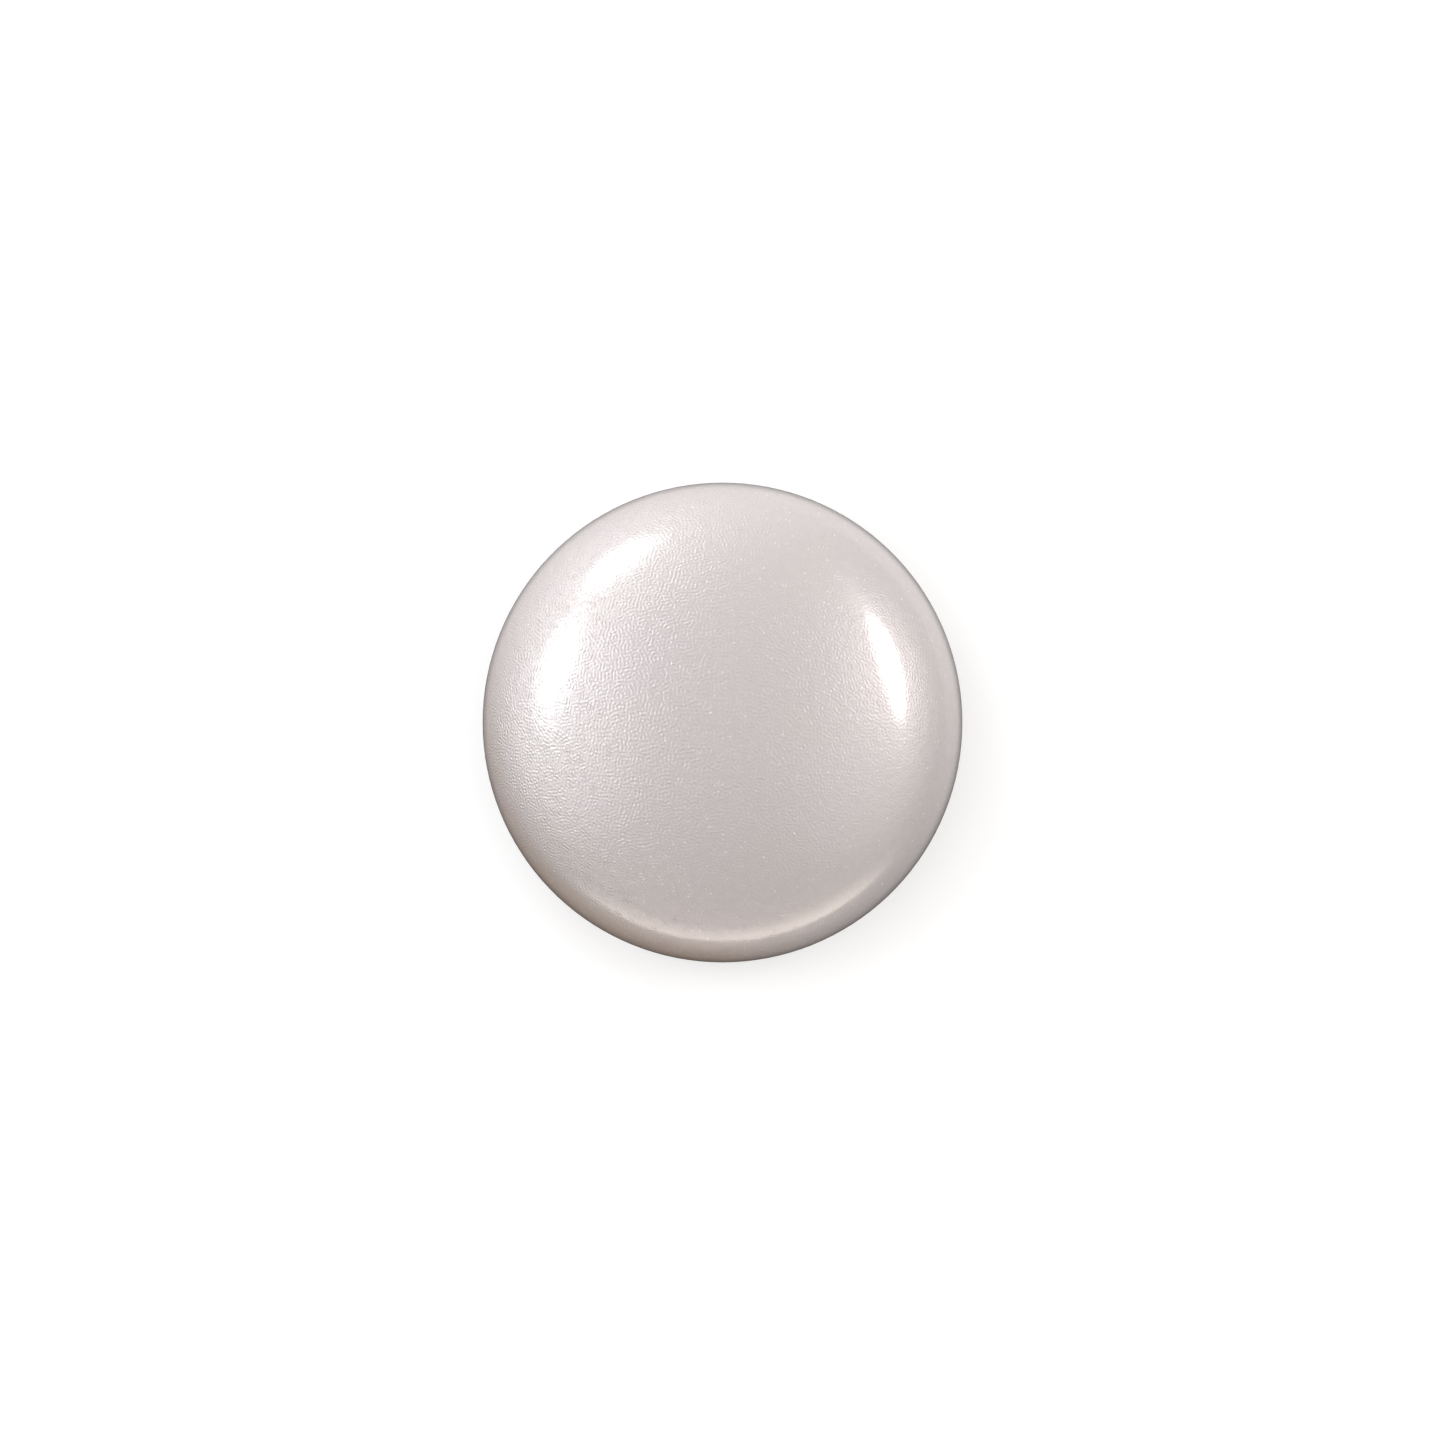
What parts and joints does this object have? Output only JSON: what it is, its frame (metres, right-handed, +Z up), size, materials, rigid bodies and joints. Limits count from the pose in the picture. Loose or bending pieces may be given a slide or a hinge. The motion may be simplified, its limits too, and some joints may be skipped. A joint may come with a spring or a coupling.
{
  "type": "dealer button",
  "caption": "Round domed dealer button: a glossy pearl-lacquered cap on a weighted moulded base with a rubber grip pad.",
  "frame": {"origin": "centre of the grip pad's face, on the table", "axes": "+Z up through the crown of the dome; the button is round about Z"},
  "size_m": [0.05, 0.05, 0.015],
  "materials": {
    "pearl_lacquer": "pearlescent white lacquer with a clear gloss coat",
    "satin_shell": "moulded white ABS, satin",
    "slug_steel": "zinc-plated turned steel",
    "screw_steel": "zinc-plated steel",
    "slug_tape": "double-sided tissue tape",
    "foam": "closed-cell EVA foam",
    "grip_rubber": "moulded rubber, fine matt",
    "adhesive_film": "adhesive film"
  },
  "bodies": {
    "root": {"top_cap": "pearl_lacquer", "base_shell": "satin_shell", "weight_slug": "slug_steel", "slug_tape": "slug_tape", "damping_pad": "foam", "shell_screws": "screw_steel", "grip_pad": "grip_rubber", "pad_film": "adhesive_film"}
  },
  "joints": []
}
